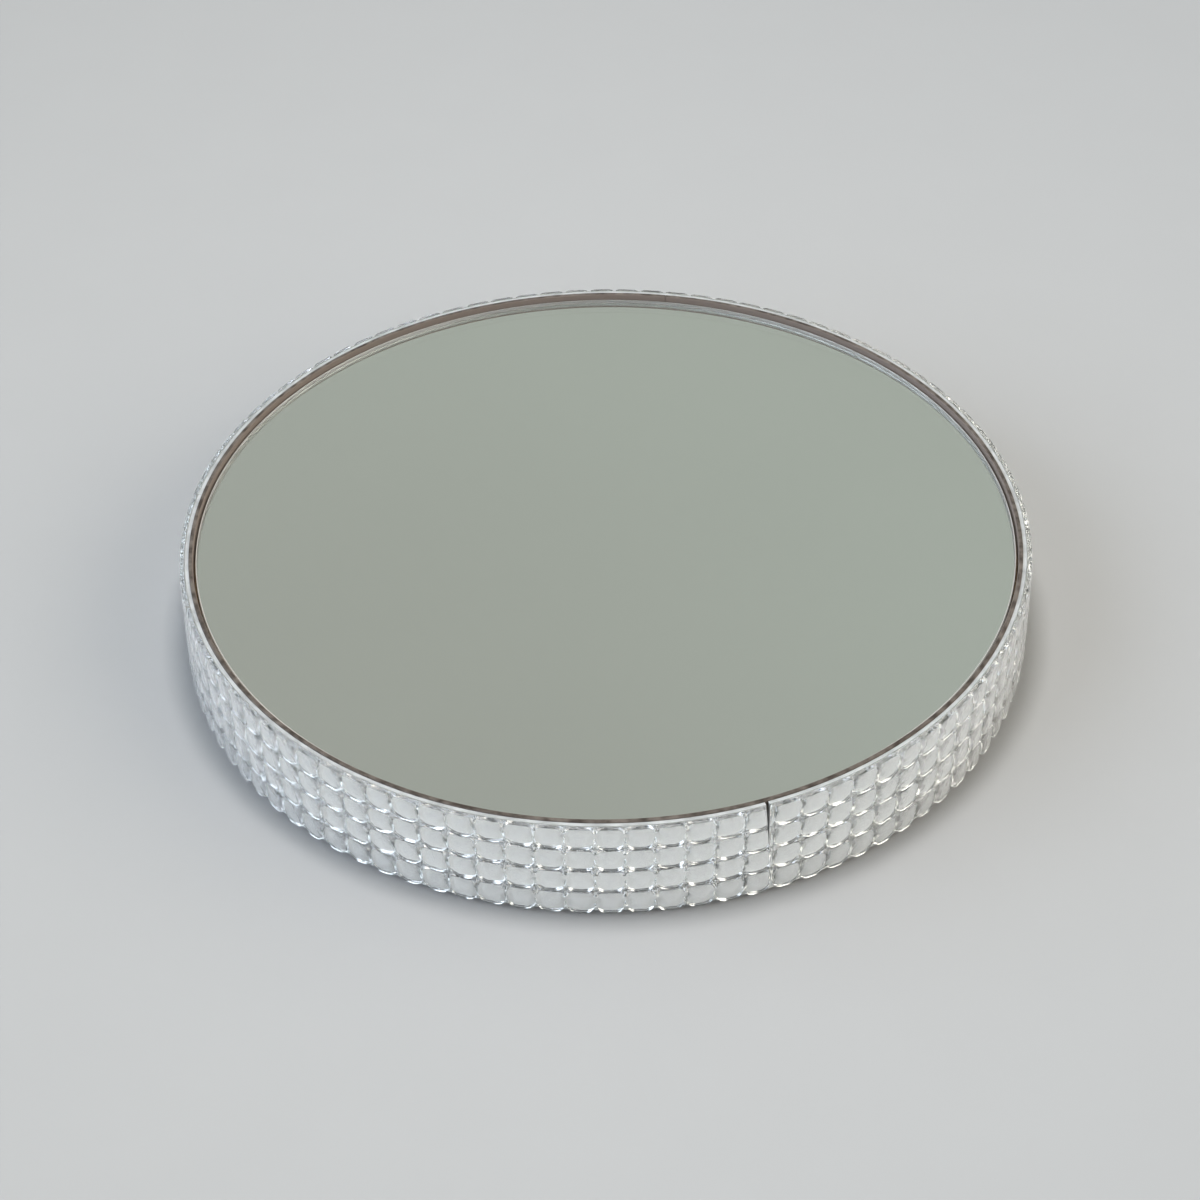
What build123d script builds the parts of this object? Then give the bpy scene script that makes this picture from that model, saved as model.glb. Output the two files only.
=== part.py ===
from build123d import *

import os
from math import atan2, ceil, cos, degrees, floor, radians

os.makedirs("parts", exist_ok=True)

# A round candle plate: a fibreboard disc with a mirror on top, a bent hoop round both,
# and panels of moulded clear stones glued to the outside of the hoop.
# Millimetres. The origin is the centre of the table contact, +Z is up, -Y is the front.

# Board that carries everything
board_diameter = 193.0
board_thickness = 22.0
board_edge_break = 0.8

# Felt pads under the board
pad_count = 4
pad_diameter = 20.0
pad_thickness = 1.0
pad_circle_diameter = 144.0
pad_first_angle = 45.0

# Mirror, from the board upwards
mirror_glue_thickness = 0.35
mirror_glue_inset = 6.0
backing_thickness = 0.1
glass_thickness = 2.0
glass_arris = 0.3
glass_clearance = 0.5

# Bent hoop round the board and the mirror
hoop_thickness = 1.0
hoop_glue_line = 0.1
hoop_proud_of_glass = 1.1
hoop_joint_gap = 0.4
hoop_joint_panel = 3

# Panels of stones, the foil behind them and the film that carries both
panel_count = 6
first_seam_angle = -69.8
panel_below_hoop = 0.3
panel_web = 0.15
panel_margin = 0.7
seam_gap = 0.12
foil_thickness = 0.15
film_thickness = 0.85
film_glue_line = 0.05

# One stone, measured along, up and out of the panel
stone_pitch = 6.45
stone_groove = 0.2
stone_root = 0.1
stone_girdle = 0.9
stone_height = 1.2
stone_corner = 0.7
crown_run = 0.6

# The one seam that stands open, widest at the top
open_seam_gap = 0.7
open_seam_depth = 16.0

# Heights of the stack
board_bottom = pad_thickness
board_top = board_bottom + board_thickness
backing_bottom = board_top + mirror_glue_thickness
glass_bottom = backing_bottom + backing_thickness
glass_top = glass_bottom + glass_thickness
hoop_top = glass_top + hoop_proud_of_glass
panel_top = hoop_top - panel_below_hoop
panel_height = panel_top - board_bottom

# Radii from the inside out
board_radius = board_diameter / 2
hoop_inner = board_radius + hoop_glue_line
hoop_outer = hoop_inner + hoop_thickness
glass_radius = hoop_inner - glass_clearance
film_inner = hoop_outer + film_glue_line
foil_inner = film_inner + film_thickness
foil_outer = foil_inner + foil_thickness
web_outer = foil_outer + panel_web
stone_outer = web_outer + stone_height

# Angles along a panel and the grid of stones on it
panel_step = 360 / panel_count
half_seam = degrees(seam_gap / 2 / web_outer)
panel_sweep = panel_step - 2 * half_seam
column_step = degrees(stone_pitch / web_outer)
first_column = half_seam + degrees(panel_margin / web_outer)
column_count = ceil((half_seam + panel_sweep - first_column) / column_step)
row_count = max(1, floor(panel_height / stone_pitch + 0.5))
row_pitch = panel_height / row_count
stone_width = stone_pitch - stone_groove
stone_length = row_pitch - stone_groove


def ring_sector(inner, outer, start, sweep):
    """A stretch of a flat ring between two radii, from the angle start over the angle sweep."""
    with BuildSketch() as sector:
        with BuildLine():
            near = CenterArc((0, 0), inner, start, sweep)
            far = CenterArc((0, 0), outer, start, sweep)
            Line(near @ 0, far @ 0)
            Line(near @ 1, far @ 1)
        make_face()
    return sector.sketch


def stone_outline(width, length):
    """A stone's outline seen from outside: a rectangle with its corners cut."""
    with BuildSketch() as outline:
        Rectangle(width, length)
        chamfer(outline.vertices(), length=min(stone_corner, 0.45 * width, 0.45 * length))
    return outline.sketch


def outward_plane(radius, angle, height):
    """The plane that touches a cylinder about Z: X runs along it, Y runs up, Z points out."""
    turn = Rot(0, 0, angle)
    return Plane(turn * Pos(radius, 0, height) * Plane.YZ.location)


# Fibreboard disc with its lower edge broken
with BuildPart() as base_board:
    with BuildSketch(Plane.XY.offset(board_bottom)):
        Circle(board_radius)
    extrude(amount=board_thickness)
    chamfer(base_board.edges().group_by(Axis.Z)[0], length=board_edge_break)
base_board.part.label = "base_board"
export_step(base_board.part, "parts/base_board.step")

# Glue layer between the board and the mirror
with BuildPart() as mirror_adhesive:
    with BuildSketch(Plane.XY.offset(board_top)):
        Circle(glass_radius - mirror_glue_inset)
    extrude(amount=mirror_glue_thickness)
mirror_adhesive.part.label = "mirror_adhesive"
export_step(mirror_adhesive.part, "parts/mirror_adhesive.step")

# Silver and paint on the back of the glass, as wide as the glass inside its arris
with BuildPart() as mirror_backing:
    with BuildSketch(Plane.XY.offset(backing_bottom)):
        Circle(glass_radius - glass_arris)
    extrude(amount=backing_thickness)
mirror_backing.part.label = "mirror_backing"
export_step(mirror_backing.part, "parts/mirror_backing.step")

# Glass disc with both edges ground
with BuildPart() as mirror_glass:
    with BuildSketch(Plane.XY.offset(glass_bottom)):
        Circle(glass_radius)
    extrude(amount=glass_thickness)
    chamfer(mirror_glass.edges().filter_by(GeomType.CIRCLE), length=glass_arris)
mirror_glass.part.label = "mirror_glass"
export_step(mirror_glass.part, "parts/mirror_glass.step")

# Strip bent into a hoop, with its butt joint behind the middle of a panel at the back
hoop_joint_angle = first_seam_angle + (hoop_joint_panel - 0.5) * panel_step
joint_sweep = degrees(hoop_joint_gap / hoop_outer)
with BuildPart() as hoop:
    with BuildSketch(Plane.XY.offset(board_bottom)):
        add(ring_sector(hoop_inner, hoop_outer, hoop_joint_angle + joint_sweep / 2, 360 - joint_sweep))
    extrude(amount=hoop_top - board_bottom)
hoop.part.label = "hoop"
export_step(hoop.part, "parts/hoop.step")

# One stone: an upright girdle, rooted in the web, and a low crown that narrows to a flat table
crown_height = stone_height - stone_girdle
crown_angle = degrees(atan2(crown_run, crown_height))
with BuildPart() as stone:
    with BuildSketch(Plane.XY.offset(-stone_root)):
        add(stone_outline(stone_width, stone_length))
    extrude(amount=stone_root + stone_girdle)
    with BuildSketch(Plane.XY.offset(stone_girdle)):
        add(stone_outline(stone_width, stone_length))
    extrude(amount=crown_height, taper=crown_angle)

stone_places = []
for column in range(column_count):
    for row in range(row_count):
        angle = first_column + (column + 0.5) * column_step
        height = board_bottom + (row + 0.5) * row_pitch
        stone_places.append(outward_plane(web_outer, angle, height).location)

# A whole panel before it is placed. Its web bends in the grooves between the columns, so its outside is
# a row of flat strips, and its far end is where the strip was cut off, through the last column.
bend_radius = web_outer / cos(radians(column_step / 2))
bend_angles = [half_seam] + [first_column + column * column_step for column in range(column_count + 1)]
with BuildPart() as panel_blank:
    with BuildSketch(Plane.XY.offset(board_bottom)):
        with BuildLine():
            back = CenterArc((0, 0), foil_outer, bend_angles[0], bend_angles[-1] - bend_angles[0])
            front = Polyline(*[Vector(bend_radius, 0).rotate(Axis.Z, angle) for angle in bend_angles])
            Line(back @ 0, front @ 0)
            Line(back @ 1, front @ 1)
        make_face()
    extrude(amount=panel_height)
    with Locations(*stone_places):
        add(stone.part)
    with BuildSketch(Plane.XY.offset(board_bottom)):
        add(ring_sector(foil_inner, stone_outer + stone_height, half_seam + panel_sweep, column_step))
    extrude(amount=panel_height, mode=Mode.SUBTRACT)

# The wedge that is missing from the cut end of the last panel, its foil and its film, where the seam stands open
open_end = outward_plane(web_outer, first_seam_angle - half_seam, panel_top)
with BuildPart() as open_seam:
    with BuildSketch(open_end):
        Polygon((0, 0), (-open_seam_gap, 0), (0, -open_seam_depth), align=None)
    extrude(amount=stone_height + panel_web + foil_thickness + film_thickness + film_glue_line, both=True)

# Each panel, its foil and its film, placed round the hoop
for number in range(1, panel_count + 1):
    seam_angle = first_seam_angle + (number - 1) * panel_step
    with BuildPart() as crystal_panel:
        with Locations(Rot(0, 0, seam_angle)):
            add(panel_blank.part)
        if number == panel_count:
            add(open_seam.part, mode=Mode.SUBTRACT)
    crystal_panel.part.label = f"crystal_panel_{number}"
    export_step(crystal_panel.part, f"parts/crystal_panel_{number}.step")

    with BuildPart() as foil_strip:
        with BuildSketch(Plane.XY.offset(board_bottom)):
            add(ring_sector(foil_inner, foil_outer, seam_angle + half_seam, panel_sweep))
        extrude(amount=panel_height)
        if number == panel_count:
            add(open_seam.part, mode=Mode.SUBTRACT)
    foil_strip.part.label = f"foil_strip_{number}"
    export_step(foil_strip.part, f"parts/foil_strip_{number}.step")

    with BuildPart() as film_strip:
        with BuildSketch(Plane.XY.offset(board_bottom)):
            add(ring_sector(film_inner, foil_inner, seam_angle + half_seam, panel_sweep))
        extrude(amount=panel_height)
        if number == panel_count:
            add(open_seam.part, mode=Mode.SUBTRACT)
    film_strip.part.label = f"film_strip_{number}"
    export_step(film_strip.part, f"parts/film_strip_{number}.step")

# Felt pads that the plate stands on
with BuildSketch() as pad_circle:
    with PolarLocations(pad_circle_diameter / 2, pad_count, start_angle=pad_first_angle):
        Circle(pad_diameter / 2)
for number, outline in enumerate(pad_circle.sketch.faces(), start=1):
    with BuildPart() as felt_pad:
        with BuildSketch():
            add(outline)
        extrude(amount=pad_thickness)
    felt_pad.part.label = f"felt_pad_{number}"
    export_step(felt_pad.part, f"parts/felt_pad_{number}.step")

print("stones along and up a panel:", column_count, row_count)
print("across the stones:", round(2 * stone_outer, 2), "high:", round(hoop_top, 2))
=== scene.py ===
"""Looks of a round candle plate: a mirror on a board, a brown hoop and a band of clear stones."""

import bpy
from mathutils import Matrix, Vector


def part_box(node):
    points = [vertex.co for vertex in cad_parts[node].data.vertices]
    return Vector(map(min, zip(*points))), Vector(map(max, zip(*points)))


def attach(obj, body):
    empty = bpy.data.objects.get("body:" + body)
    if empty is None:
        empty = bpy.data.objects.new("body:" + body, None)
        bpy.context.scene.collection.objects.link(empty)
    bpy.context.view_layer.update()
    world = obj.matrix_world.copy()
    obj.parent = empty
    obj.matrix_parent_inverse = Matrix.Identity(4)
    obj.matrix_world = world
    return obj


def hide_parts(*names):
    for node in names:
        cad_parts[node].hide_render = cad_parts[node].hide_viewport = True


bl_info = {
    "name": "Candle Plate",
    "version": (1, 0, 0),
    "blender": (4, 5, 0),
    "location": "View3D > Sidebar > Candle Plate",
    "description": "Dresses the packed candle plate with its glass, hoop, stones, pads and studio",
    "category": "Object",
}

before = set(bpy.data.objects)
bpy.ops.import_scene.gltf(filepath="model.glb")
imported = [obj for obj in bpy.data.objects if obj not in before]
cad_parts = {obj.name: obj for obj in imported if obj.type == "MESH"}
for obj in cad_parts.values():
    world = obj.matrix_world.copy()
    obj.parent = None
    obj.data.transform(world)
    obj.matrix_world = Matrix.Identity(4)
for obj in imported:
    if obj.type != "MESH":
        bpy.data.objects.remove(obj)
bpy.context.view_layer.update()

import math

import bmesh
import bpy
from mathutils import Matrix, Vector

MM = 0.001
FULL_TURN = 2 * math.pi
PANELS = 6
PANEL_TURN = FULL_TURN / PANELS
PADS = 4
GLASS_IOR = 1.52
ACRYLIC_IOR = 1.49
MERGE_REACH = 0.002 * MM
CUT_REACH = 0.0001 * MM


# Sizes and colours that a user would change

def length(name, description, default):
    """A size in metres."""
    return bpy.props.FloatProperty(
        name=name, description=description, default=default, precision=5, subtype="DISTANCE", unit="LENGTH"
    )


def share(name, description, default):
    """A share of something, from 0 to 1."""
    return bpy.props.FloatProperty(
        name=name, description=description, default=default, min=0.0, max=1.0, subtype="FACTOR"
    )


def turn(name, description, degrees):
    """An angle."""
    return bpy.props.FloatProperty(
        name=name,
        description=description,
        default=math.radians(degrees),
        precision=4,
        subtype="ANGLE",
        unit="ROTATION",
    )


def tint(name, description, default):
    """A colour, or a colour of light."""
    return bpy.props.FloatVectorProperty(
        name=name, description=description, default=default, size=3, min=0.0, subtype="COLOR"
    )


def count(name, description, default):
    """A number of like things."""
    return bpy.props.IntProperty(name=name, description=description, default=default, min=1)


class StoneSizes(bpy.types.PropertyGroup):
    """Sizes of one stone and of the panels that the stones are moulded in"""

    web_radius: length("Web radius", "From the axis to the flat outside of the web", 98.8 * MM)
    back_radius: length("Back radius", "From the axis to the flat back of a panel", 98.67 * MM)
    foil_radius: length("Foil radius", "From the axis to the bright face of the foil", 98.63 * MM)
    foil_back: length("Foil back", "From the axis to the back of the foil", 98.51 * MM)
    pitch: length("Pitch", "From one column of stones to the next, along the web", 6.45 * MM)
    columns: count("Columns", "Columns of stones in a panel", 16)
    rows: count("Rows", "Rows of stones in a panel", 4)
    first_seam: turn("First seam", "Where the first panel starts, about the axis from +X", -69.8)
    seam_gap: length("Seam gap", "Gap between two panels", 0.12 * MM)
    margin: length("Margin", "Bare web before the first column of a panel", 0.7 * MM)
    open_gap: length("Open seam", "Width of the open seam at its top", 1.15 * MM)
    open_depth: length("Open seam depth", "How far down the open seam runs", 16.0 * MM)
    height: length("Stone height", "From the web to the table of a stone", 1.2 * MM)
    row_gap: length("Row groove", "Flat groove between two rows", 0.12 * MM)
    side_foot: length("Side groove", "Height over the web of the groove between two columns", 0.78 * MM)
    bowl: length("Bowl", "How far the lower corners of a stone are drawn up", 1.1 * MM)
    top_round: length("Top corners", "How far the upper corners of a stone are drawn down", 0.3 * MM)
    bottom_drop: length("Bottom drop", "How far the lower rim lies under the table", 0.3 * MM)
    side_drop: length("Side drop", "How far the side rims lie under the table", 0.4 * MM)
    top_drop: length("Top drop", "How far the upper rim lies under the table", 0.3 * MM)
    side_inset: length("Side inset", "From the middle of a side groove to the side rim", 0.6 * MM)
    shoulder: share("Shoulder", "Size of the shoulder ring as a share of the rim", 0.7)
    shoulder_drop: share("Shoulder drop", "Drop of the shoulder as a share of the rim's drop", 0.4)
    table: share("Table", "Size of the flat table as a share of the rim", 0.35)
    ripple: length("Ripple", "How much the moulded crowns differ from one another", 0.1 * MM)
    ripple_width: length("Ripple width", "Size of the swells in the crowns", 4.0 * MM)
    waver: length("Waver", "How much the lower edges of the stones waver", 0.5 * MM)
    waver_width: length("Waver width", "Size of the swells in the lower edges", 1.4 * MM)


class PlateSizes(bpy.types.PropertyGroup):
    """Sizes of the glass, the hoop and the pads"""

    glass_radius: length("Glass radius", "Half the width of the mirror glass", 96.1 * MM)
    glass_lift: length("Glass lift", "Thin air gap between the silver and the glass", 0.02 * MM)
    glass_arris: length("Arris", "Ground edge of the glass", 0.3 * MM)
    hoop_inner: length("Hoop inside", "Inner radius of the hoop", 96.6 * MM)
    hoop_outer: length("Hoop outside", "Outer radius of the hoop", 97.6 * MM)
    hoop_round: length("Hoop edge", "Rounding of the hoop's edges", 0.18 * MM)
    hoop_joint: turn("Hoop joint", "Where the ends of the hoop meet, about the axis from +X", 80.2)
    hoop_gap: length("Hoop joint gap", "Gap between the ends of the hoop", 0.1 * MM)
    pad_radius: length("Pad radius", "Half the width of a felt pad", 10.0 * MM)
    pad_height: length("Pad thickness", "Thickness of a felt pad", 1.0 * MM)
    pad_round: length("Pad edge", "Rounding of a felt pad's edges", 0.25 * MM)
    pad_ring: length("Pad ring", "Width of the rings that divide the faces of a pad", 2.2 * MM)
    tuft: length("Tufts", "How far the felt is pressed in", 0.08 * MM)
    tuft_width: length("Tuft width", "Size of the tufts of the felt", 1.2 * MM)


class PlateFinish(bpy.types.PropertyGroup):
    """Colours of the plate"""

    silver: tint("Silver", "Silver behind the glass", (0.9, 0.92, 0.9))
    glass: tint("Glass", "Clear glass with a little green", (0.975, 0.99, 0.98))
    ground: tint("Ground edge", "Frosted edge of the glass", (0.9, 0.87, 0.83))
    hoop_dark: tint("Hoop, dark", "Dark fibres of the hoop", (0.044, 0.033, 0.026))
    hoop_light: tint("Hoop, light", "Worn fibres of the hoop", (0.15, 0.126, 0.107))
    # Painted light: the inner wall of the hoop is coloured lighter than its top face, standing in for the
    # light it catches
    hoop_inside_painted_light: tint("Hoop, inside", "Paler inside of the hoop", (0.165, 0.133, 0.112))
    acrylic: tint("Stones", "Clear moulded stones", (1.0, 1.0, 1.0))
    haze: share("Haze", "How milky the tables of the stones are", 0.22)
    skin: share("Skin", "How much the moulded skin of the stones blurs", 0.05)
    foil: tint("Foil", "Bright foil behind the stones", (0.98, 1.0, 0.985))
    foil_metal: share("Foil metal", "How metallic the foil is; the rest is its pale lacquer", 1.0)
    foil_rough: share("Foil roughness", "How much the foil blurs what it mirrors", 0.1)
    # Painted shade: the film is coloured dark grey so that it looks like the shaded gap between the hoop
    # and the stones
    film: tint("Film", "Adhesive film behind the foil", (0.55, 0.56, 0.56))
    board_dark: tint("Board, dark", "Dark fibres of the board", (0.2, 0.125, 0.07))
    board_light: tint("Board, light", "Light fibres of the board", (0.37, 0.26, 0.165))
    glue: tint("Glue", "Cured glue under the mirror", (0.62, 0.58, 0.48))
    felt: tint("Felt", "Felt of the pads", (0.055, 0.052, 0.05))


class PlateStage(bpy.types.PropertyGroup):
    """Floor, light and camera"""

    floor: tint("Floor", "Pale floor", (0.445, 0.444, 0.442))
    floor_width: length("Floor width", "Width of the square floor", 12.0)
    room: tint("Room", "Dim light of the room all round", (0.16, 0.168, 0.16))
    back: tint("Back", "Light of the room behind the plate", (0.42, 0.44, 0.405))
    right: tint("Right side", "Warm light from the right", (2.75, 2.64, 2.42))
    left: tint("Left side", "Cool light from the left", (2.55, 2.84, 3.23))
    front: tint("Front", "Dark side of the room behind the camera", (0.04, 0.045, 0.045))
    side_turn: turn("Sides", "How far from the front the bright sides of the room lie", 67.0)
    side_height: turn("Side height", "How high the middle of the bright sides lies", 6.0)
    behind: share("Behind", "How bright the sides still are further back", 0.45)
    front_reach: turn("Front reach", "How far the dark side behind the camera reaches", 33.0)
    patch: tint("Patch", "Slightly warmer part of the room behind the plate", (0.385, 0.388, 0.36))
    lamp_power: bpy.props.FloatProperty(
        name="Lamp", description="Power of the soft lamp overhead", default=2.1, min=0.0, unit="POWER"
    )
    lamp_size: length("Lamp size", "Width of the square soft lamp", 0.14)
    lamp_place: bpy.props.FloatVectorProperty(
        name="Lamp place",
        description="Where the soft lamp hangs",
        default=(0.0, -0.025, 0.65),
        size=3,
        subtype="TRANSLATION",
        unit="LENGTH",
    )
    lens: bpy.props.FloatProperty(
        name="Lens", description="Focal length on a 36 mm sensor", default=97.594, min=1.0, unit="CAMERA"
    )
    elevation: turn("Elevation", "How high the camera looks down from", 40.3534)
    roll: turn("Roll", "Tilt of the camera about its line of sight", -0.8749)
    distance: length("Distance", "From the plate to the camera", 780.8 * MM)
    aside: length("Aside", "How far the camera stands to the right", -1.4943 * MM)
    above: length("Above", "How far the camera is lifted along its own up", 3.4375 * MM)


# Small steps that every piece uses

def deselect():
    """Leaves edit mode with nothing selected."""
    if bpy.context.mode != "OBJECT":
        bpy.ops.object.mode_set(mode="OBJECT")
    bpy.ops.object.select_all(action="DESELECT")


def hold(piece):
    """Makes one piece the only selected and the active one."""
    deselect()
    piece.select_set(True)
    bpy.context.view_layer.objects.active = piece


def named(name):
    """Names the piece that was just added."""
    piece = bpy.context.active_object
    piece.name = name
    piece.data.name = name
    return piece


def settle(piece):
    """Puts a piece's place, turn and size into its mesh."""
    hold(piece)
    bpy.ops.object.transform_apply(location=True, rotation=True, scale=True)


def edit(piece):
    """Opens a piece in edit mode."""
    hold(piece)
    bpy.ops.object.mode_set(mode="EDIT")


def choose(piece, kind, test):
    """Selects, in edit mode, only the vertices, edges or faces that pass a test."""
    bpy.ops.mesh.select_mode(type=kind)
    bpy.ops.mesh.select_all(action="DESELECT")
    shape = bmesh.from_edit_mesh(piece.data)
    shape.verts.index_update()
    parts = {"VERT": shape.verts, "EDGE": shape.edges, "FACE": shape.faces}[kind]
    found = [part for part in parts if test(part)]
    if not found:
        raise RuntimeError(f"{piece.name}: nothing passes the test for a selection")
    for part in found:
        part.select_set(True)
    if kind == "VERT":
        shape.select_flush(True)
    bmesh.update_edit_mesh(piece.data)


def same(a, b, reach=0.01 * MM):
    """Whether two lengths are the same."""
    return abs(a - b) < reach


def is_level_edge(edge):
    """Whether both ends of an edge are at one height."""
    return same(edge.verts[0].co.z, edge.verts[1].co.z)


def is_level_face(face, least=0.99):
    """Whether a face looks straight up or down."""
    return abs(face.normal.z) > least


def finish_mesh(piece, angle):
    """Merges doubles, points the faces outwards and smooths what is flatter than the angle."""
    edit(piece)
    bpy.ops.mesh.select_mode(type="VERT")
    bpy.ops.mesh.select_all(action="SELECT")
    bpy.ops.mesh.remove_doubles(threshold=MERGE_REACH)
    bpy.ops.mesh.normals_make_consistent(inside=False)
    bpy.ops.object.mode_set(mode="OBJECT")
    bpy.ops.object.shade_smooth_by_angle(angle=math.radians(angle))


def apply_modifier(piece, modifier):
    """Applies one modifier."""
    hold(piece)
    bpy.context.view_layer.update()
    bpy.ops.object.modifier_apply(modifier=modifier.name)


def clouds(name, width):
    """A soft random texture with swells of one width."""
    texture = bpy.data.textures.new(name, "CLOUDS")
    texture.noise_scale = width
    return texture


def displace(piece, texture, strength, level, group="", direction="NORMAL"):
    """Moves a piece's vertices by a texture; where the texture is at the level, they stay."""
    swell = piece.modifiers.new(texture.name, "DISPLACE")
    swell.texture = texture
    swell.texture_coords = "LOCAL"
    swell.direction = direction
    swell.vertex_group = group
    swell.strength = strength
    swell.mid_level = level
    apply_modifier(piece, swell)


def group_vertices(piece, name, test):
    """Puts the vertices that pass a test in a group."""
    group = piece.vertex_groups.new(name=name)
    group.add([vertex.index for vertex in piece.data.vertices if test(vertex)], 1.0, "REPLACE")


def copy_of(piece, name):
    """A copy with its own mesh."""
    twin = piece.copy()
    twin.data = piece.data.copy()
    twin.name = name
    twin.data.name = name
    bpy.context.scene.collection.objects.link(twin)
    return twin


def fit(piece, node):
    """Lets a finished piece stand for its CAD node."""
    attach(piece, "root")
    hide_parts(node)


def dress(node, material):
    """Gives a CAD node its material."""
    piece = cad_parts[node]
    if not piece.material_slots:
        piece.data.materials.append(None)
    for place in piece.material_slots:
        place.material = material


# Materials

def new_material(name):
    """A material with its node tree and its shader."""
    material = bpy.data.materials.new(name)
    material.use_nodes = True
    tree = material.node_tree
    return material, tree, tree.nodes["Principled BSDF"]


def grain(tree, scale, detail, stretch=(1.0, 1.0, 1.0)):
    """Noise in object space, scale in patches a metre."""
    place = tree.nodes.new("ShaderNodeTexCoord")
    mapping = tree.nodes.new("ShaderNodeMapping")
    mapping.inputs["Scale"].default_value = stretch
    noise = tree.nodes.new("ShaderNodeTexNoise")
    noise.inputs["Scale"].default_value = scale
    noise.inputs["Detail"].default_value = detail
    tree.links.new(place.outputs["Object"], mapping.inputs["Vector"])
    tree.links.new(mapping.outputs["Vector"], noise.inputs["Vector"])
    return noise.outputs["Fac"]


def between(tree, noise, dark, light, start=0.35, stop=0.65):
    """A colour that runs from dark to light over most of a noise's range."""
    ramp = tree.nodes.new("ShaderNodeValToRGB")
    ramp.color_ramp.elements[0].position = start
    ramp.color_ramp.elements[0].color = (*dark, 1.0)
    ramp.color_ramp.elements[1].position = stop
    ramp.color_ramp.elements[1].color = (*light, 1.0)
    tree.links.new(noise, ramp.inputs["Fac"])
    return ramp.outputs["Color"]


def spread(tree, value, low, high, start=0.3, stop=0.7):
    """A number that runs from low to high as a value, usually a noise, goes from start to stop."""
    span = tree.nodes.new("ShaderNodeMapRange")
    span.inputs["From Min"].default_value = start
    span.inputs["From Max"].default_value = stop
    span.inputs["To Min"].default_value = low
    span.inputs["To Max"].default_value = high
    tree.links.new(value, span.inputs["Value"])
    return span.outputs["Result"]


def off_axis(tree, near, far, low=0.0, high=1.0):
    """A number that runs from low to high between two distances from the plate's axis."""
    place = tree.nodes.new("ShaderNodeTexCoord")
    flat = tree.nodes.new("ShaderNodeVectorMath")
    flat.operation = "MULTIPLY"
    flat.inputs[1].default_value = (1.0, 1.0, 0.0)
    tree.links.new(place.outputs["Object"], flat.inputs[0])
    reach = tree.nodes.new("ShaderNodeVectorMath")
    reach.operation = "LENGTH"
    tree.links.new(flat.outputs["Vector"], reach.inputs[0])
    return spread(tree, reach.outputs["Value"], low, high, start=near, stop=far)


def colour_by(tree, shader, noise, dark, light):
    """Colours the surface from dark to light with a noise."""
    tree.links.new(between(tree, noise, dark, light), shader.inputs["Base Color"])


def roughen(tree, shader, noise, low, high):
    """Makes the surface rougher or smoother with a noise."""
    tree.links.new(spread(tree, noise, low, high), shader.inputs["Roughness"])


def relief(tree, shader, height, distance):
    """Small bumps on the surface."""
    bump = tree.nodes.new("ShaderNodeBump")
    bump.inputs["Distance"].default_value = distance
    tree.links.new(height, bump.inputs["Height"])
    tree.links.new(bump.outputs["Normal"], shader.inputs["Normal"])


def scaled(colour, by):
    """A darker or lighter colour, or a dimmer light."""
    return tuple(part * by for part in colour)


def silver_material(finish):
    """Silvering with faint patches."""
    material, tree, shader = new_material("plate_silver")
    patches = grain(tree, scale=14.0, detail=3.0)
    shader.inputs["Metallic"].default_value = 1.0
    colour_by(tree, shader, patches, scaled(finish.silver, 0.985), finish.silver)
    roughen(tree, shader, patches, low=0.012, high=0.03)
    return material


def glass_material(finish):
    """Polished float glass with a trace of waviness."""
    material, tree, shader = new_material("plate_glass")
    shader.inputs["Base Color"].default_value = (*finish.glass, 1.0)
    shader.inputs["Transmission Weight"].default_value = 1.0
    shader.inputs["IOR"].default_value = GLASS_IOR
    roughen(tree, shader, grain(tree, scale=30.0, detail=2.0), low=0.0, high=0.012)
    return material


def ground_material(finish):
    """The ground edge of the glass."""
    material, tree, shader = new_material("plate_ground_glass")
    shader.inputs["Base Color"].default_value = (*finish.ground, 1.0)
    shader.inputs["Transmission Weight"].default_value = 0.3
    shader.inputs["IOR"].default_value = GLASS_IOR
    grit = grain(tree, scale=3500.0, detail=2.0)
    roughen(tree, shader, grit, low=0.3, high=0.5)
    relief(tree, shader, grit, distance=0.02 * MM)
    return material


def hoop_material(finish, inner):
    """Brown fibre strip, dark and worn in spots on its edges, with painted light that makes the inner wall
    of the hoop lighter than its top.
    """
    material, tree, shader = new_material("plate_hoop_strip")
    lengthwise = (1.0, 1.0, 4.0)
    streaks = grain(tree, scale=420.0, detail=5.0, stretch=lengthwise)
    worn = between(tree, streaks, finish.hoop_dark, finish.hoop_light)
    # Painted light: near the inner radius the colour is mixed towards the lighter inside colour
    painted_light_mix = tree.nodes.new("ShaderNodeMix")
    painted_light_mix.data_type = "RGBA"
    painted_light_mix.inputs[7].default_value = (*finish.hoop_inside_painted_light, 1.0)
    inside = off_axis(tree, inner + 0.2 * MM, inner + 0.05 * MM)
    tree.links.new(inside, painted_light_mix.inputs["Factor"])
    tree.links.new(worn, painted_light_mix.inputs[6])
    tree.links.new(painted_light_mix.outputs[2], shader.inputs["Base Color"])
    roughen(tree, shader, streaks, low=0.9, high=0.75)
    fibres = grain(tree, scale=900.0, detail=3.0, stretch=lengthwise)
    relief(tree, shader, fibres, distance=0.08 * MM)
    return material


def acrylic_material(finish, rim, table):
    """Clear moulded acrylic with a soft, uneven skin, a little milky from the rim to the table."""
    material, tree, shader = new_material("plate_clear_acrylic")
    shader.inputs["Base Color"].default_value = (*finish.acrylic, 1.0)
    clear = off_axis(tree, rim, table, low=1.0, high=1.0 - finish.haze)
    tree.links.new(clear, shader.inputs["Transmission Weight"])
    shader.inputs["IOR"].default_value = ACRYLIC_IOR
    skin = grain(tree, scale=200.0, detail=2.0)
    roughen(tree, shader, skin, low=0.6 * finish.skin, high=1.4 * finish.skin)
    relief(tree, shader, grain(tree, scale=320.0, detail=1.0), distance=0.15 * MM)
    return material


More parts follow.
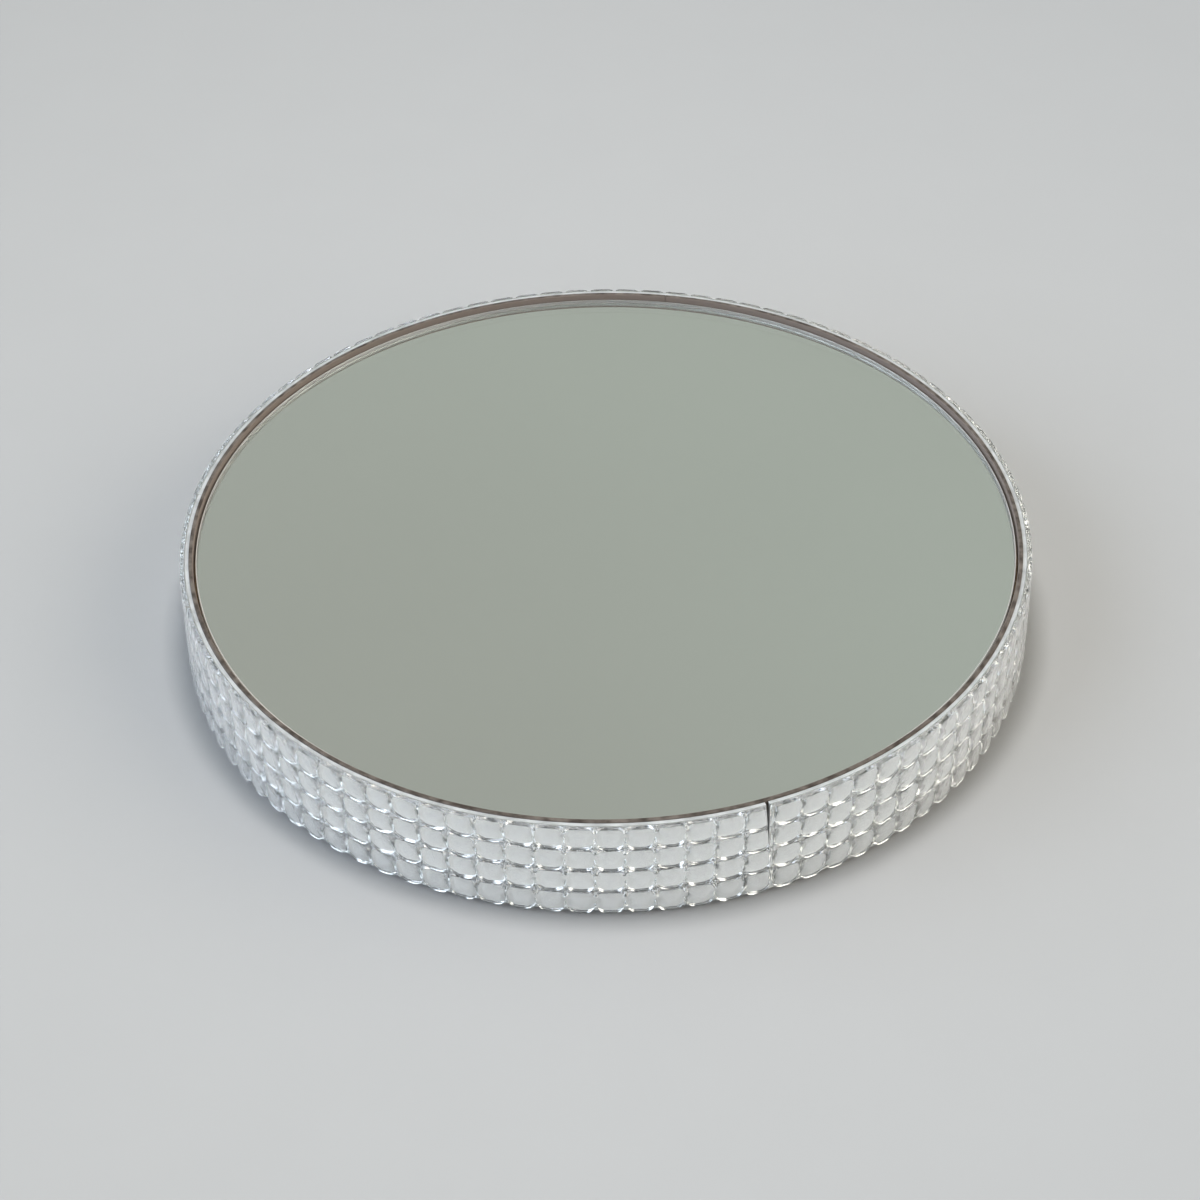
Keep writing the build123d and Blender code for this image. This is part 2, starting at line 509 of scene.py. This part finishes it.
def foil_material(finish):
    """Bright foil with faint creases."""
    material, tree, shader = new_material("plate_foil")
    creases = grain(tree, scale=160.0, detail=3.0)
    shader.inputs["Metallic"].default_value = finish.foil_metal
    colour_by(tree, shader, creases, scaled(finish.foil, 0.97), finish.foil)
    roughen(tree, shader, creases, low=0.8 * finish.foil_rough, high=1.2 * finish.foil_rough)
    return material


def film_material(finish):
    """Adhesive film painted dark grey as painted shade where it shows between the hoop and the stones, with
    darker patches.
    """
    material, tree, shader = new_material("plate_film")
    painted_shade_mottle = grain(tree, scale=260.0, detail=4.0)
    # Painted shade: the film's dark grey and its darker patches stand in for the shaded gap between the
    # hoop and the stones
    colour_by(tree, shader, painted_shade_mottle, scaled(finish.film, 0.7), finish.film)
    roughen(tree, shader, painted_shade_mottle, low=0.65, high=0.45)
    relief(tree, shader, painted_shade_mottle, distance=0.05 * MM)
    return material


def board_material(finish):
    """Raw fibreboard with fine mixed fibres."""
    material, tree, shader = new_material("plate_fibreboard")
    fibres = grain(tree, scale=420.0, detail=6.0)
    colour_by(tree, shader, fibres, finish.board_dark, finish.board_light)
    shader.inputs["Roughness"].default_value = 0.85
    relief(tree, shader, fibres, distance=0.1 * MM)
    return material


def glue_material(finish):
    """Cured glue, spread unevenly."""
    material, tree, shader = new_material("plate_glue")
    smears = grain(tree, scale=60.0, detail=3.0)
    colour_by(tree, shader, smears, scaled(finish.glue, 0.8), finish.glue)
    roughen(tree, shader, smears, low=0.5, high=0.3)
    relief(tree, shader, smears, distance=0.1 * MM)
    return material


def felt_material(finish):
    """Dark felt with short matted fibres."""
    material, tree, shader = new_material("plate_felt")
    fibres = grain(tree, scale=1800.0, detail=6.0)
    colour_by(tree, shader, fibres, scaled(finish.felt, 0.5), scaled(finish.felt, 1.7))
    shader.inputs["Roughness"].default_value = 0.95
    shader.inputs["Sheen Weight"].default_value = 0.3
    shader.inputs["Sheen Roughness"].default_value = 0.5
    relief(tree, shader, fibres, distance=0.3 * MM)
    return material


# Stones

def stone_rings(size, half, tall):
    """Rings of one stone from its cell's border to its table.

    Each place is (along, up, out) from the middle of the stone's foot.
    """
    top = size.height
    foot = size.side_foot
    low = -tall + size.row_gap / 2
    high = tall - size.row_gap / 2
    low_side = -0.15 * tall
    high_side = 0.6 * tall
    near = 0.34 * half
    far = 0.62 * half
    corner = 0.9 * half
    bend = low + 0.25 * size.bowl
    low_corner = low + size.bowl
    high_corner = high - size.top_round
    crease = half - 0.03 * MM
    crease_foot = foot + 0.02 * MM
    lip = half - size.side_inset
    lip_far = 0.99 * far
    lip_corner = 0.97 * corner
    draft = 0.05 * MM
    low_rim = top - size.bottom_drop
    bend_rim = top - 1.2 * size.bottom_drop
    corner_rim = top - 1.6 * size.bottom_drop
    side_rim = top - size.side_drop
    high_rim = top - size.top_drop
    border = [
        (0.0, -tall, 0.0),
        (near, -tall, 0.0),
        (far, -tall, 0.0),
        (half, -tall, 0.0),
        (half, low_side, foot),
        (half, high_side, foot),
        (half, tall, 0.0),
        (far, tall, 0.0),
        (near, tall, 0.0),
        (0.0, tall, 0.0),
    ]
    base = [
        (0.0, low, 0.0),
        (near, low, 0.0),
        (far, bend, 0.0),
        (corner, low_corner, 0.0),
        (crease, low_side, crease_foot),
        (crease, high_side, crease_foot),
        (corner, high_corner, 0.0),
        (far, high, 0.0),
        (near, high, 0.0),
        (0.0, high, 0.0),
    ]
    rim = [
        (0.0, low, low_rim),
        (near, low, low_rim),
        (lip_far, bend, bend_rim),
        (lip_corner, low_corner, corner_rim),
        (lip, low_side, side_rim),
        (lip, high_side, side_rim),
        (lip_corner, high_corner - draft, high_rim),
        (far, high - draft, high_rim),
        (near, high - draft, high_rim),
        (0.0, high - draft, high_rim),
    ]
    shoulder = []
    table = []
    for along, up, out in rim:
        drop = size.shoulder_drop * (top - out)
        shoulder.append((along * size.shoulder, up * size.shoulder, top - drop))
        table.append((along * size.table, up * size.table, top))
    rings = []
    for right in (border, base, rim, shoulder, table):
        left = [(-along, up, out) for along, up, out in reversed(right[1:-1])]
        rings.append(right + left)
    return rings


def place_ring(piece, before, after):
    """Moves the selected ring, a vertex at a time, from its places before to its places after."""
    bpy.ops.mesh.select_mode(type="VERT")
    shape = bmesh.from_edit_mesh(piece.data)
    shape.verts.index_update()
    moves = {}
    for vertex in shape.verts:
        if vertex.select:
            number = min(range(len(before)), key=lambda n: (vertex.co - before[n]).length)
            moves[vertex.index] = after[number] - vertex.co
    if len(moves) != len(after):
        raise RuntimeError(f"{piece.name}: {len(moves)} vertices for {len(after)} places of a ring")
    for index, move in moves.items():
        choose(piece, "VERT", lambda vertex: vertex.index == index)
        bpy.ops.transform.translate(value=move)
    choose(piece, "VERT", lambda vertex: vertex.index in moves)


def mould_stone(size, half, tall, centre):
    """One stone in its cell, on the +X side of the plate, shaped ring by ring."""
    web = size.web_radius
    rings = []
    for ring in stone_rings(size, half, tall):
        rings.append([Vector((web + out, along * (1 + out / web), centre + up)) for along, up, out in ring])
    corners = len(rings[0])
    deselect()
    bpy.ops.mesh.primitive_circle_add(
        vertices=corners,
        radius=half,
        fill_type="NGON",
        location=(web, 0.0, centre),
        rotation=(0.0, math.pi / 2, 0.0),
    )
    stone = named("stone_cell")
    settle(stone)
    edit(stone)

    def bearing(point):
        return math.atan2(point.z - centre, point.y)

    circle = [vertex.co.copy() for vertex in bmesh.from_edit_mesh(stone.data).verts]
    bpy.ops.mesh.select_all(action="SELECT")
    place_ring(stone, sorted(circle, key=bearing), sorted(rings[0], key=bearing))
    for before, after in zip(rings, rings[1:]):
        bpy.ops.mesh.extrude_region_move(TRANSFORM_OT_translate={"value": (0.0, 0.0, 0.0)})
        place_ring(stone, before, after)

    def is_cell_back(face):
        return len(face.verts) == corners and min(vertex.co.x for vertex in face.verts) < web + MM / 2

    choose(stone, "FACE", is_cell_back)
    bpy.ops.mesh.delete(type="ONLY_FACE")
    bpy.ops.object.mode_set(mode="OBJECT")
    crown_foot = web + size.height - 1.7 * max(size.bottom_drop, size.side_drop, size.top_drop)

    def on_lower_edge(vertex):
        up = vertex.co.z - centre
        return -tall + 0.03 * MM < up < -0.8 * tall and abs(vertex.co.y) < 0.7 * half

    group_vertices(stone, "crown", lambda vertex: vertex.co.x > crown_foot)
    group_vertices(stone, "lower_edge", on_lower_edge)
    return stone


def repeat_columns(piece, size, step, first):
    """Repeats one column round the axis and turns the row to where it starts."""
    deselect()
    bpy.ops.object.empty_add(rotation=(0.0, 0.0, step))
    turner = bpy.context.active_object
    columns = piece.modifiers.new("columns", "ARRAY")
    columns.count = size.columns
    columns.use_relative_offset = False
    columns.use_object_offset = True
    columns.offset_object = turner
    columns.use_merge_vertices = True
    columns.merge_threshold = 0.02 * MM
    apply_modifier(piece, columns)
    bpy.data.objects.remove(turner)
    piece.rotation_euler.z = first
    settle(piece)


def outwards(angle):
    """The direction out of the band at an angle about the axis."""
    return Vector((math.cos(angle), math.sin(angle), 0.0))


def onwards(angle):
    """The direction along the band at an angle about the axis."""
    return Vector((-math.sin(angle), math.cos(angle), 0.0))


def cut_off(place, direction):
    """Cuts off, in edit mode, what lies past a plane, and closes the cut."""
    bpy.ops.mesh.select_all(action="SELECT")
    bpy.ops.mesh.bisect(
        plane_co=place, plane_no=direction, use_fill=True, clear_outer=True, threshold=CUT_REACH
    )
    bpy.ops.object.mode_set(mode="OBJECT")


def close_ends(piece, size, start, stop):
    """Adds the bare margin at the near end, closes both ends and cuts the far end off."""
    first_edge = onwards(start + size.margin / size.web_radius)
    edit(piece)

    def at_near_end(edge):
        return edge.is_boundary and all(abs(vertex.co.dot(first_edge)) < 0.1 * MM for vertex in edge.verts)

    choose(piece, "EDGE", at_near_end)
    bpy.ops.mesh.extrude_edges_move(TRANSFORM_OT_translate={"value": -onwards(start) * size.margin})
    choose(piece, "EDGE", lambda edge: edge.is_boundary)
    bpy.ops.mesh.fill_holes(sides=0)
    cut_off((0.0, 0.0, 0.0), onwards(stop))


def cut_open_seam(piece, size, stop, top):
    """Cuts the slanting end of the panel beside the open seam."""
    slope = Vector((0.0, 0.0, size.open_gap / size.open_depth))
    edge = outwards(stop) * size.web_radius - onwards(stop) * size.open_gap + Vector((0.0, 0.0, top))
    edit(piece)
    cut_off(edge, (onwards(stop) + slope).normalized())


def panel_angles(size):
    """Column step, where the first panel and its first column start, and where the panel stops."""
    step = size.pitch / size.web_radius
    half_seam = size.seam_gap / 2 / size.web_radius
    start = size.first_seam + half_seam
    stop = size.first_seam + PANEL_TURN - half_seam
    first = start + size.margin / size.web_radius
    return step, start, first, stop


def set_round(panel, name, size, stop, top):
    """Sets copies of the first panel round the plate, opens the last one's seam, and gives each in turn."""
    for number in range(1, PANELS + 1):
        piece = panel if number == PANELS else copy_of(panel, f"{name}_{number}")
        turned = (number - 1) * PANEL_TURN
        piece.rotation_euler.z = turned
        settle(piece)
        piece.name = f"{name}_{number}"
        if number == PANELS:
            cut_open_seam(piece, size, stop + turned, top)
        yield number, piece


class CANDLEPLATE_OT_stones(bpy.types.Operator):
    """Mould one clear panel of stones and set copies of it round the plate"""

    bl_idname = "candle_plate.stones"
    bl_label = "Stone Panels"

    def execute(self, context):
        size = context.scene.candle_stones
        step, start, first, stop = panel_angles(size)
        low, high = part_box("crystal_panel_1")
        bottom, top = low.z, high.z
        pitch = (top - bottom) / size.rows
        half = size.web_radius * math.tan(step / 2)
        panel = mould_stone(size, half, pitch / 2, bottom + pitch / 2)
        rows = panel.modifiers.new("rows", "ARRAY")
        rows.count = size.rows
        rows.use_relative_offset = False
        rows.use_constant_offset = True
        rows.constant_offset_displace = (0.0, 0.0, pitch)
        rows.use_merge_vertices = True
        rows.merge_threshold = 0.005 * MM
        apply_modifier(panel, rows)
        edit(panel)
        depth = (size.back_radius - size.web_radius, 0.0, 0.0)
        for level in (bottom, top):
            choose(panel, "EDGE", lambda edge: all(same(vertex.co.z, level) for vertex in edge.verts))
            bpy.ops.mesh.extrude_edges_move(TRANSFORM_OT_translate={"value": depth})

        def on_back(edge):
            return is_level_edge(edge) and all(same(vertex.co.x, size.back_radius) for vertex in edge.verts)

        choose(panel, "EDGE", on_back)
        bpy.ops.mesh.bridge_edge_loops()
        bpy.ops.object.mode_set(mode="OBJECT")
        repeat_columns(panel, size, step, first + step / 2)
        close_ends(panel, size, start, stop)
        table = size.web_radius + size.height
        rim = table - size.side_drop
        panel.data.materials.append(acrylic_material(context.scene.candle_finish, rim, table))
        ripples = clouds("stone_ripple", size.ripple_width)
        wavers = clouds("stone_waver", size.waver_width)
        for number, piece in set_round(panel, "stones", size, stop, top):
            displace(piece, wavers, size.waver, level=0.3, group="lower_edge", direction="Z")
            displace(piece, ripples, size.ripple, level=1.0, group="crown")
            finish_mesh(piece, angle=40.0)
            fit(piece, f"crystal_panel_{number}")
        return {"FINISHED"}


class CANDLEPLATE_OT_foil(bpy.types.Operator):
    """Lay the bright foil behind the stones, flat behind each column"""

    bl_idname = "candle_plate.foil"
    bl_label = "Foil"

    def execute(self, context):
        size = context.scene.candle_stones
        step, start, first, stop = panel_angles(size)
        low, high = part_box("foil_strip_1")
        half = size.foil_radius * math.tan(step / 2)
        thick = size.foil_radius - size.foil_back
        deselect()
        bpy.ops.mesh.primitive_cube_add(
            size=1.0, location=(size.foil_radius - thick / 2, 0.0, (low.z + high.z) / 2)
        )
        strip = named("foil")
        strip.scale = (thick, 2 * half, high.z - low.z)
        settle(strip)
        edit(strip)
        choose(strip, "FACE", lambda face: abs(face.normal.y) > 0.5)
        bpy.ops.mesh.delete(type="ONLY_FACE")
        bpy.ops.object.mode_set(mode="OBJECT")
        repeat_columns(strip, size, step, first + step / 2)
        close_ends(strip, size, start, stop)
        strip.data.materials.append(foil_material(context.scene.candle_finish))
        for number, piece in set_round(strip, "foil", size, stop, high.z):
            finish_mesh(piece, angle=1.0)
            fit(piece, f"foil_strip_{number}")
        return {"FINISHED"}


# The other pieces

class CANDLEPLATE_OT_board(bpy.types.Operator):
    """Finish the fibreboard and the film strips that stay as their CAD solids"""

    bl_idname = "candle_plate.board"
    bl_label = "Board and Film"

    def execute(self, context):
        finish = context.scene.candle_finish
        dress("base_board", board_material(finish))
        film = film_material(finish)
        for number in range(1, PANELS + 1):
            dress(f"film_strip_{number}", film)
        return {"FINISHED"}


class CANDLEPLATE_OT_mirror(bpy.types.Operator):
    """Finish the glue and the silver, and cut the glass with its ground edge"""

    bl_idname = "candle_plate.mirror"
    bl_label = "Mirror"

    def execute(self, context):
        finish = context.scene.candle_finish
        size = context.scene.candle_sizes
        dress("mirror_adhesive", glue_material(finish))
        dress("mirror_backing", silver_material(finish))
        low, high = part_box("mirror_glass")
        bottom = low.z + size.glass_lift
        deselect()
        bpy.ops.mesh.primitive_cylinder_add(
            vertices=256,
            radius=size.glass_radius,
            depth=high.z - bottom,
            end_fill_type="NGON",
            location=(0.0, 0.0, (high.z + bottom) / 2),
        )
        glass = named("mirror_sheet")
        settle(glass)
        glass.data.materials.append(glass_material(finish))
        glass.data.materials.append(ground_material(finish))
        edit(glass)
        choose(glass, "EDGE", is_level_edge)
        bpy.ops.mesh.bevel(offset=size.glass_arris, segments=2)
        choose(glass, "FACE", lambda face: not is_level_face(face))
        glass.active_material_index = 1
        bpy.ops.object.material_slot_assign()
        finish_mesh(glass, angle=12.0)
        fit(glass, "mirror_glass")
        return {"FINISHED"}


class CANDLEPLATE_OT_hoop(bpy.types.Operator):
    """Bend the brown strip round the board and the mirror"""

    bl_idname = "candle_plate.hoop"
    bl_label = "Hoop"

    def execute(self, context):
        size = context.scene.candle_sizes
        low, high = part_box("hoop")
        middle = (size.hoop_inner + size.hoop_outer) / 2
        deselect()
        bpy.ops.mesh.primitive_plane_add(
            size=1.0,
            location=(middle, 0.0, (low.z + high.z) / 2),
            rotation=(math.pi / 2, 0.0, 0.0),
        )
        hoop = named("hoop_strip")
        hoop.scale = (size.hoop_outer - size.hoop_inner, high.z - low.z, 1.0)
        settle(hoop)
        gap = size.hoop_gap / size.hoop_outer
        edit(hoop)
        bpy.ops.mesh.select_all(action="SELECT")
        bpy.ops.mesh.bevel(offset=size.hoop_round, segments=3, affect="VERTICES")
        bpy.ops.mesh.select_all(action="SELECT")
        bpy.ops.mesh.spin(
            steps=360,
            angle=FULL_TURN - gap,
            center=(0.0, 0.0, 0.0),
            axis=(0.0, 0.0, 1.0),
            use_auto_merge=False,
        )
        bpy.ops.object.mode_set(mode="OBJECT")
        bearings = [math.atan2(vertex.co.y, vertex.co.x) % FULL_TURN for vertex in hoop.data.vertices]
        anticlockwise = max(bearings) < FULL_TURN - gap / 2
        hoop.rotation_euler.z = size.hoop_joint + (gap / 2 if anticlockwise else -gap / 2)
        settle(hoop)
        hoop.data.materials.append(hoop_material(context.scene.candle_finish, size.hoop_inner))
        finish_mesh(hoop, angle=45.0)
        fit(hoop, "hoop")
        return {"FINISHED"}


class CANDLEPLATE_OT_pads(bpy.types.Operator):
    """Press the four felt pads under the board"""

    bl_idname = "candle_plate.pads"
    bl_label = "Felt Pads"

    def execute(self, context):
        size = context.scene.candle_sizes
        deselect()
        bpy.ops.mesh.primitive_cylinder_add(
            vertices=48,
            radius=size.pad_radius,
            depth=size.pad_height,
            location=(0.0, 0.0, size.pad_height / 2),
        )
        pad = named("felt")
        settle(pad)
        edit(pad)
        choose(pad, "EDGE", is_level_edge)
        bpy.ops.mesh.bevel(offset=size.pad_round, segments=3)
        for _ in range(3):
            choose(pad, "FACE", lambda face: is_level_face(face) and len(face.verts) > 4)
            bpy.ops.mesh.inset(thickness=size.pad_ring, use_individual=True)
        bpy.ops.object.mode_set(mode="OBJECT")
        pad.data.materials.append(felt_material(context.scene.candle_finish))
        tufts = clouds("felt_tufts", size.tuft_width)
        for number in range(1, PADS + 1):
            piece = pad if number == PADS else copy_of(pad, f"felt_{number}")
            low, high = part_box(f"felt_pad_{number}")
            middle = (low + high) / 2
            piece.location = (middle.x, middle.y, 0.0)
            settle(piece)
            piece.name = f"felt_{number}"
            displace(piece, tufts, size.tuft, level=1.0)
            finish_mesh(piece, angle=60.0)
            fit(piece, f"felt_pad_{number}")
        return {"FINISHED"}


# Floor, light and camera

def bearing_of(azimuth, elevation):
    """A direction turned from the front towards +X and lifted off the floor, both in degrees."""
    a = math.radians(azimuth)
    e = math.radians(elevation)
    return Vector((math.sin(a) * math.cos(e), -math.cos(a) * math.cos(e), math.sin(e)))


def light_room(stage):
    """A soft room: dim all round, with a warm side, a cool side and a dark side behind the camera."""
    world = bpy.data.worlds.new("plate_room")
    bpy.context.scene.world = world
    world.use_nodes = True
    tree = world.node_tree
    place = tree.nodes.new("ShaderNodeTexCoord")
    across = math.degrees(stage.side_turn)
    further = across + 50.0
    height = math.degrees(stage.side_height)
    reach = math.degrees(stage.front_reach)
    soft = 5.0
    right_behind = scaled(stage.right, stage.behind)
    left_behind = scaled(stage.left, stage.behind)
    # Azimuth, elevation, how far from there the zone begins and is full, all in degrees, and its light
    zones = (
        (180.0, 40.0, 62.0, 40.0, stage.back),
        (further, height, 45.0, 15.0, right_behind),
        (-further, height, 45.0, 15.0, left_behind),
        (across, height, 52.0, 44.0, stage.right),
        (-across, height, 54.0, 42.0, stage.left),
        (0.0, 40.0, reach + soft, reach - soft, stage.front),
        (-168.0, 50.0, 18.0, 4.0, stage.patch),
    )
    last = None
    for azimuth, elevation, outer, inner, colour in zones:
        facing = tree.nodes.new("ShaderNodeVectorMath")
        facing.operation = "DOT_PRODUCT"
        facing.inputs[1].default_value = bearing_of(azimuth, elevation)
        tree.links.new(place.outputs["Generated"], facing.inputs[0])
        fade = tree.nodes.new("ShaderNodeMapRange")
        fade.interpolation_type = "SMOOTHSTEP"
        fade.inputs["From Min"].default_value = math.cos(math.radians(outer))
        fade.inputs["From Max"].default_value = math.cos(math.radians(inner))
        tree.links.new(facing.outputs["Value"], fade.inputs["Value"])
        mix = tree.nodes.new("ShaderNodeMix")
        mix.data_type = "RGBA"
        tree.links.new(fade.outputs["Result"], mix.inputs["Factor"])
        if last is None:
            mix.inputs[6].default_value = (*stage.room, 1.0)
        else:
            tree.links.new(last, mix.inputs[6])
        mix.inputs[7].default_value = (*colour, 1.0)
        last = mix.outputs[2]
    tree.links.new(last, tree.nodes["Background"].inputs["Color"])


def floor_material(stage):
    """Pale matt floor with the faintest mottling."""
    material, tree, shader = new_material("plate_floor")
    mottle = grain(tree, scale=40.0, detail=3.0)
    colour_by(tree, shader, mottle, scaled(stage.floor, 0.992), stage.floor)
    shader.inputs["Roughness"].default_value = 0.9
    return material


def hang_lamp(stage):
    """A soft square lamp overhead that reflections don't show."""
    spot = Vector(stage.lamp_place)
    target = Vector((0.0, 0.0, 10.0 * MM))
    aim = (target - spot).to_track_quat("-Z", "Y").to_euler()
    bpy.ops.object.light_add(type="AREA", location=spot, rotation=aim)
    lamp = bpy.context.active_object
    lamp.name = "soft_lamp"
    lamp.data.shape = "SQUARE"
    lamp.data.size = stage.lamp_size
    lamp.data.energy = stage.lamp_power
    lamp.visible_glossy = False
    lamp.visible_transmission = False


def set_camera(stage):
    """A camera that looks down at the plate from the front."""
    right = Vector((1.0, 0.0, 0.0))
    up = Vector((0.0, math.sin(stage.elevation), math.cos(stage.elevation)))
    back = Vector((0.0, -math.cos(stage.elevation), math.sin(stage.elevation)))
    foot = Vector((0.0, 0.0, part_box("hoop")[0].z))
    spot = stage.aside * right + stage.above * up + stage.distance * back + foot
    view = Matrix((right, up, back)).transposed().to_4x4() @ Matrix.Rotation(stage.roll, 4, "Z")
    bpy.ops.object.camera_add(location=spot, rotation=view.to_euler())
    camera = bpy.context.active_object
    camera.name = "studio_camera"
    camera.data.sensor_width = 36.0
    camera.data.lens = stage.lens
    camera.data.clip_start = 10.0 * MM
    bpy.context.scene.camera = camera


class CANDLEPLATE_OT_stage(bpy.types.Operator):
    """Set up the pale floor, the soft light and the camera"""

    bl_idname = "candle_plate.stage"
    bl_label = "Studio"

    def execute(self, context):
        scene = context.scene
        stage = scene.candle_stage
        deselect()
        bpy.ops.mesh.primitive_plane_add(size=stage.floor_width, location=(0.0, 0.0, 0.0))
        floor = named("studio_floor")
        floor.data.materials.append(floor_material(stage))
        light_room(stage)
        hang_lamp(stage)
        set_camera(stage)
        scene.view_settings.view_transform = "Standard"
        scene.cycles.max_bounces = 32
        scene.cycles.glossy_bounces = 24
        scene.cycles.transmission_bounces = 32
        return {"FINISHED"}


# The panel in the sidebar and the registration

GROUPS = {
    "candle_stones": StoneSizes,
    "candle_sizes": PlateSizes,
    "candle_finish": PlateFinish,
    "candle_stage": PlateStage,
}

STEPS = (
    CANDLEPLATE_OT_board,
    CANDLEPLATE_OT_mirror,
    CANDLEPLATE_OT_hoop,
    CANDLEPLATE_OT_foil,
    CANDLEPLATE_OT_stones,
    CANDLEPLATE_OT_pads,
    CANDLEPLATE_OT_stage,
)


class CANDLEPLATE_PT_panel(bpy.types.Panel):
    """Lists the plate's pieces with their sizes and colours"""

    bl_idname = "CANDLEPLATE_PT_panel"
    bl_label = "Candle Plate"
    bl_space_type = "VIEW_3D"
    bl_region_type = "UI"
    bl_category = "Candle Plate"

    def draw(self, context):
        layout = self.layout
        for step in STEPS:
            layout.operator(step.bl_idname)
        for name in GROUPS:
            group = getattr(context.scene, name)
            box = layout.box()
            for key in group.__annotations__:
                box.prop(group, key)


def register():
    """Registers the groups, the operators and the panel."""
    for name, group in GROUPS.items():
        bpy.utils.register_class(group)
        setattr(bpy.types.Scene, name, bpy.props.PointerProperty(type=group))
    for step in STEPS:
        bpy.utils.register_class(step)
    bpy.utils.register_class(CANDLEPLATE_PT_panel)


def unregister():
    """Takes back what register did."""
    bpy.utils.unregister_class(CANDLEPLATE_PT_panel)
    for step in reversed(STEPS):
        bpy.utils.unregister_class(step)
    for name, group in GROUPS.items():
        delattr(bpy.types.Scene, name)
        bpy.utils.unregister_class(group)


def main():
    """Builds the plate and its studio."""
    register()
    bpy.ops.candle_plate.board()
    bpy.ops.candle_plate.mirror()
    bpy.ops.candle_plate.hoop()
    bpy.ops.candle_plate.foil()
    bpy.ops.candle_plate.stones()
    bpy.ops.candle_plate.pads()
    bpy.ops.candle_plate.stage()


if __name__ == "__main__":
    main()
